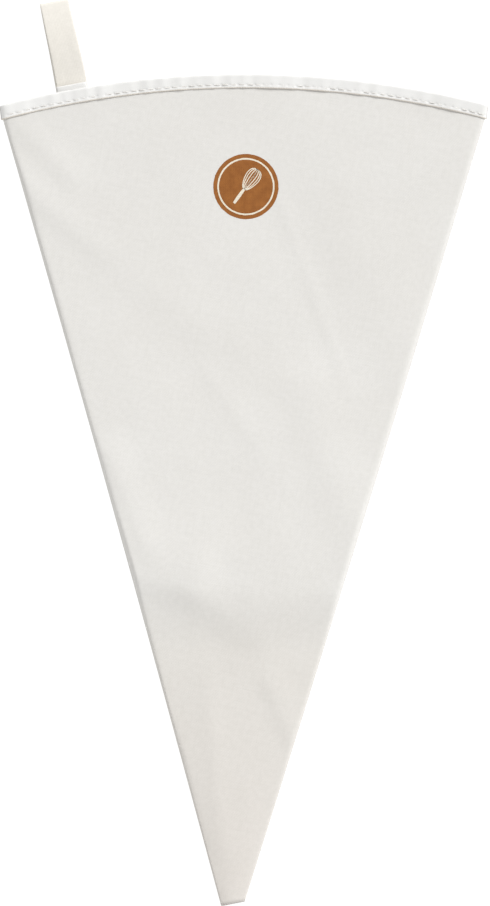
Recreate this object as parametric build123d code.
from build123d import *
import math
import os

# Piping bag of coated canvas, lying flat on its back wall, in millimetres.
# +Y runs from the cut tip to the mouth, +X across the bag, +Z up through the front wall.
# The origin is under the middle of the whole bag and its hanging loop, on the table.

# Bag outline. The two folded sides meet at the cone's apex, below the cut tip.
cut_length = 406.4  # along the middle, from the cut tip to the top of the hem
half_taper = 16.29  # degrees between the middle line and each folded side
tip_slant = 19.8  # from the apex to the cut tip, along the middle
mouth_arc_radius = 489.0  # the mouth's edge is cut to this arc
mouth_bulge = 10.0  # the front wall's rise over its own sides, at the mouth
flat_share = 0.6  # the front wall is flat over this share of its width and slopes at both sides
mouth_slant = tip_slant + cut_length
taper = math.tan(math.radians(half_taper))

# Cloth: canvas with a coating on the side that faces the filling
canvas_thick = 0.6
coating_thick = 0.15
cloth_thick = canvas_thick + coating_thick

# Hem: the cloth is turned outward over the mouth's edge and sewn down
hem_height = 6.7
hem_overhang = 0.6  # the turned cloth wraps this far past each folded side
hem_ramp = 35.0  # the back wall climbs onto its hem over this length
ramp_below_mouth = 21.9  # from the middle of the mouth's edge down to the top of that ramp

# Stitches along the hem
stitch_pitch = 4.08
stitch_length = 2.9
stitch_width = 0.45
stitch_height = 0.25
stitch_from_raw_edge = 1.4

# Side seam: the panel's two straight edges lap inside the back wall and are bonded
seam_angle = 11.4  # degrees to the left of the middle line, under the loop
seam_width = 15.0
bond_thick = 0.1

# Hanging loop: a tape folded in half, with both ends sewn under the back wall's hem
tape_width = 15.0
tape_thick = 0.4
loop_angle = 12.0  # degrees that the loop leans to the left
loop_root_x = -84.6
loop_length = 42.4  # from the top of the hem to the end of the loop
loop_end_radius = 1.6
loop_belly_radius = 3.2  # the two layers stand apart most in the middle of the loop
loop_belly_at = 22.0
loop_hinge_gap = 1.2  # from the top of the hem to the line where the loop bends
tape_end_length = 6.2

# Printed badge on the front wall
badge_diameter = 31.9
badge_below_mouth = 55.1
badge_x = 1.6
ink_thick = 0.1
ring_diameter = 28.0
ring_width = 0.8

# Heights over the table
hem_lift = 2 * tape_thick + cloth_thick  # the canvas lies on the hem and the tape
side_gap_tip = 0.4  # clear space between the seam lap and the front wall, at the tip
side_gap_mouth = 0.5
front_base_tip = cloth_thick + bond_thick + canvas_thick + side_gap_tip
front_base_mouth = hem_lift + cloth_thick + side_gap_mouth
tall = 60.0  # taller than anything here, for cutting straight through
sweep = 25.0  # degrees each way, wider than the bag

# Places along Y
loop_lean = math.radians(loop_angle)
half_corner = tape_width / 2 * math.sin(loop_lean)
arc_drop = mouth_arc_radius - math.sqrt(mouth_arc_radius**2 - loop_root_x**2)
loop_top_slant = mouth_slant - arc_drop + loop_length * math.cos(loop_lean) + half_corner
apex_y = -(tip_slant + loop_top_slant) / 2
tip_y = apex_y + tip_slant
mouth_y = apex_y + mouth_slant
arc_centre = Vector(0, mouth_y - mouth_arc_radius, 0)
loop_root = Vector(loop_root_x, mouth_y - arc_drop, 0)
loop_out = Vector(-math.sin(loop_lean), math.cos(loop_lean), 0)
loop_across = Vector(math.cos(loop_lean), math.sin(loop_lean), 0)


def half_width(y):
    """Half of the bag's flat width at y."""
    return (y - apex_y) * taper


def outline(overhang=0.0):
    """The flat bag's straight sides and cut tip, as a block far past the mouth."""
    far_y = mouth_y + 20
    near, far = half_width(tip_y) + overhang, half_width(far_y) + overhang
    corners = [(-near, tip_y), (near, tip_y), (far, far_y), (-far, far_y)]
    return extrude(make_face(Polyline(*corners, close=True)), tall / 2, both=True)


def mouth_band(inner, outer):
    """The space between two arcs that follow the mouth, at these radii."""
    return ring([(inner, -tall / 2), (outer, -tall / 2), (outer, tall / 2), (inner, tall / 2)])


def ring(profile):
    """A profile of (radius, height) swept round the mouth arc's centre."""
    plane = Plane(arc_centre, x_dir=(0, 1, 0), z_dir=(1, 0, 0))
    face = plane * make_face(Polyline(*profile, close=True))
    axis = Axis(arc_centre, (0, 0, 1))
    return revolve(face.rotate(axis, -sweep), axis, 2 * sweep)


def one_solid(shape):
    """The single solid inside a result, for a clean STEP file."""
    return shape.solids()[0]


# Back wall


ramp_end_y = mouth_y - ramp_below_mouth
ramp_start_y = ramp_end_y - hem_ramp


def back_layer(low, high, end_radius=mouth_arc_radius - cloth_thick):
    """A layer of the back wall between two heights over its underside."""
    under = [
        (tip_y - 5, low),
        (ramp_start_y, low),
        (ramp_end_y, low + hem_lift),
        (mouth_y + 10, low + hem_lift),
    ]
    over = [(y, height + high - low) for y, height in reversed(under)]
    side_view = make_face(Polyline(*under, *over, close=True))
    layer = extrude(Plane.YZ * side_view, mouth_slant, both=True)
    return layer & mouth_band(1, end_radius)


def across_band(from_y, to_y):
    """The space between two straight lines across the bag."""
    return Pos(0, (from_y + to_y) / 2, 0) * Box(2 * mouth_slant, to_y - from_y, tall)


# Each wall's canvas is three nodes. Each of them is one flat slab, a simple convex shape for collision.


def canvas_back():
    """The back wall's flat part, on the table."""
    return one_solid(back_layer(0, canvas_thick) & outline() & across_band(tip_y - 10, ramp_start_y))


def canvas_back_ramp():
    """The back wall's slope up to the hem's height."""
    return one_solid(back_layer(0, canvas_thick) & outline() & across_band(ramp_start_y, ramp_end_y))


def canvas_back_mouth():
    """The back wall's last part, over its own hem."""
    return one_solid(back_layer(0, canvas_thick) & outline() & across_band(ramp_end_y, mouth_y + 10))


def coating_back():
    return one_solid(back_layer(canvas_thick, cloth_thick) & outline())


def hem_back():
    """The turned band under the back wall, with the fold that closes over its edge."""
    low, turn, high = 2 * tape_thick, hem_lift, hem_lift + cloth_thick
    outer = mouth_arc_radius
    inner = outer - hem_height
    edge = outer - cloth_thick
    profile = [(inner, low), (outer, low), (outer, high), (edge, high), (edge, turn), (inner, turn)]
    return one_solid(ring(profile) & outline(hem_overhang))


def stitch_blocks(radius, from_angle, to_angle):
    """Upright blocks, one for each stitch of a row at this radius, between two angles."""
    pitch = math.degrees(stitch_pitch / radius)
    count = int((to_angle - from_angle) / pitch)
    first = (from_angle + to_angle) / 2 - (count - 1) * pitch / 2
    block = Box(stitch_length, stitch_width, tall)
    blocks = []
    for i in range(count):
        turn = first + i * pitch
        blocks.append(Pos(arc_centre) * Rot(0, 0, -turn) * Pos(0, radius, 0) * block)
    return blocks


hem_stitch_radius = mouth_arc_radius - hem_height + stitch_from_raw_edge
hem_half_angle = math.degrees(math.asin((half_width(mouth_y - 16) - 2) / mouth_arc_radius))


def under_loop(x):
    """True where a stitch of the back row would be covered by the tape's ends."""
    return abs(x - loop_root_x) < tape_width / 2 + stitch_length


def cut_stitches(layer, blocks):
    """Every block's share of a thin layer, as one group of separate solids."""
    pieces = []
    for block in blocks:
        pieces += (layer & block).solids()
    return Compound(children=pieces)


def hem_stitches_back():
    blocks = stitch_blocks(hem_stitch_radius, -hem_half_angle, hem_half_angle)
    clear = [block for block in blocks if not under_loop(block.center().X)]
    low, high = 2 * tape_thick - stitch_height, 2 * tape_thick
    inner, outer = hem_stitch_radius - 2, hem_stitch_radius + 2
    return cut_stitches(ring([(inner, low), (outer, low), (outer, high), (inner, high)]), clear)


def seam_strip(low, high):
    """A strip along the seam's line, between two heights over the back wall's underside."""
    lean = math.radians(seam_angle)
    middle = Vector(0, apex_y, 0) + Vector(-math.sin(lean), math.cos(lean), 0) * mouth_slant / 2
    strip = Pos(middle) * Rot(0, 0, seam_angle) * Box(seam_width, 2 * mouth_slant, tall)
    inset = 0.2  # the strip stays this far inside the folded side and the mouth's fold
    layer = back_layer(low, high, mouth_arc_radius - cloth_thick - inset)
    return one_solid(layer & outline(-inset) & strip)


def seam_bond():
    return seam_strip(cloth_thick, cloth_thick + bond_thick)


def seam_lap():
    return seam_strip(cloth_thick + bond_thick, cloth_thick + bond_thick + canvas_thick)


# Front wall


def front_base(y):
    """Height of the front wall's underside at its folded sides."""
    share = (y - tip_y) / cut_length
    return front_base_tip + share * (front_base_mouth - front_base_tip)


def front_line(y, height, overhang):
    """The corners of the front wall's section at y, this far over its underside, from left to right."""
    reach = half_width(y)
    shoulder = flat_share * reach
    base = front_base(y) + height
    rise = mouth_bulge * (y - apex_y) / mouth_slant
    end = base - overhang * rise / (reach - shoulder)
    right = [(shoulder, base + rise), (reach + overhang, end)]
    return [(-x, z) for x, z in reversed(right)] + right


def front_section(y, low, high, overhang):
    """The front wall's cross-section at y, between two heights over its underside."""
    corners = front_line(y, low, overhang) + front_line(y, high, overhang)[::-1]
    plane = Plane((0, y, 0), x_dir=(1, 0, 0), z_dir=(0, -1, 0))
    return plane * make_face(Polyline(*corners, close=True))


def front_layer(low, high, overhang=0.0):
    """A layer of the front wall: straight lines from the tip's section to the mouth's."""
    sections = [front_section(y, low, high, overhang) for y in (tip_y, mouth_y + 5)]
    return loft(sections, ruled=True)


def inside_mouth(end_radius):
    """The plan area on the tip's side of an arc that follows the mouth."""
    return mouth_band(1, end_radius)


def share_of_width(first, last):
    """The plan area between two shares of the half width, from the left side at -1 to the right at 1."""
    near, far = half_width(tip_y - 5), half_width(mouth_y + 10)
    corners = [(first * near, tip_y - 5), (last * near, tip_y - 5)]
    corners += [(last * far, mouth_y + 10), (first * far, mouth_y + 10)]
    return extrude(make_face(Polyline(*corners, close=True)), tall / 2, both=True)


def front_canvas(first, last):
    """The front wall's canvas between two shares of its width."""
    area = inside_mouth(mouth_arc_radius - cloth_thick) & share_of_width(first, last)
    return one_solid(front_layer(coating_thick, cloth_thick) & area)


def canvas_front():
    """The flat middle of the front wall."""
    return front_canvas(-flat_share, flat_share)


def canvas_front_left():
    """The front wall's slope down to the left fold."""
    return front_canvas(-1.5, -flat_share)


def canvas_front_right():
    """The front wall's slope down to the right fold."""
    return front_canvas(flat_share, 1.5)


def coating_front():
    area = inside_mouth(mouth_arc_radius - cloth_thick)
    return one_solid(front_layer(0, coating_thick) & area)


def hem_front():
    """The turned band over the front wall, with the fold that closes over its edge."""
    outer = mouth_arc_radius
    turned = front_layer(cloth_thick, 2 * cloth_thick, hem_overhang)
    edge = front_layer(0, cloth_thick, hem_overhang)
    band = turned & mouth_band(outer - hem_height, outer)
    fold = edge & mouth_band(outer - cloth_thick, outer)
    return one_solid(band + fold)


def hem_stitches_front():
    layer = front_layer(2 * cloth_thick, 2 * cloth_thick + stitch_height, hem_overhang)
    blocks = stitch_blocks(hem_stitch_radius, -hem_half_angle, hem_half_angle)
    return cut_stitches(layer, blocks)


def badge_round(diameter):
    """An upright round block at the badge's place."""
    return Pos(badge_x, mouth_y - badge_below_mouth, 0) * Cylinder(diameter / 2, tall)


def badge_disc():
    layer = front_layer(cloth_thick, cloth_thick + ink_thick)
    return one_solid(layer & badge_round(badge_diameter))


def badge_ring():
    layer = front_layer(cloth_thick + ink_thick, cloth_thick + 2 * ink_thick)
    return one_solid(layer & badge_round(ring_diameter) - badge_round(ring_diameter - 2 * ring_width))


# Hanging loop


def loop_plane(along):
    """A plane across the loop, with its own X along the loop and its Y upward."""
    return Plane(loop_root + loop_out * along, x_dir=loop_out, z_dir=loop_across)


def loop_tape():
    """The free part of the folded tape: its layers bow apart, open enough for a hook."""
    reach = loop_length - loop_hinge_gap
    root = Pos(0.05, tape_thick) * Rectangle(0.1, 2 * tape_thick)
    belly = Pos(loop_belly_at, loop_belly_radius) * Circle(loop_belly_radius)
    end = Pos(reach - loop_end_radius, loop_end_radius) * Circle(loop_end_radius)
    bow = make_hull(root.edges() + belly.edges() + end.edges())
    tape = bow - offset(bow, -tape_thick)
    return one_solid(extrude(loop_plane(loop_hinge_gap) * tape, tape_width / 2, both=True))


def loop_ends():
    """The tape's two ends, one on the other, under the back wall's hem."""
    ends = Pos(-tape_end_length / 2, tape_thick) * Rectangle(tape_end_length, 2 * tape_thick)
    under_hem = inside_mouth(mouth_arc_radius)
    return one_solid(extrude(loop_plane(0) * ends, tape_width / 2, both=True) & under_hem)


def loop_tack():
    """Short rows of stitches that hold the tape's ends, seen inside the mouth on the seam lap."""
    low = hem_lift + cloth_thick + bond_thick + canvas_thick
    high = low + stitch_height
    middle = -math.degrees(math.asin(-loop_root_x / mouth_arc_radius))
    half_angle = math.degrees((seam_width / 2 - 0.2) / mouth_arc_radius)
    pieces = []
    for depth in (2.2, 3.6, 5.0):
        radius = mouth_arc_radius - depth
        layer = ring([(radius - 1, low), (radius + 1, low), (radius + 1, high), (radius - 1, high)])
        blocks = stitch_blocks(radius, middle - half_angle, middle + half_angle)
        pieces += cut_stitches(layer, blocks).solids()
    return Compound(children=pieces)


makers = [
    canvas_back,
    canvas_back_ramp,
    canvas_back_mouth,
    coating_back,
    hem_back,
    hem_stitches_back,
    seam_bond,
    seam_lap,
    canvas_front,
    canvas_front_left,
    canvas_front_right,
    coating_front,
    hem_front,
    hem_stitches_front,
    badge_disc,
    badge_ring,
    loop_tape,
    loop_ends,
    loop_tack,
]

os.makedirs("parts", exist_ok=True)
for make in makers:
    export_step(make(), f"parts/{make.__name__}.step")
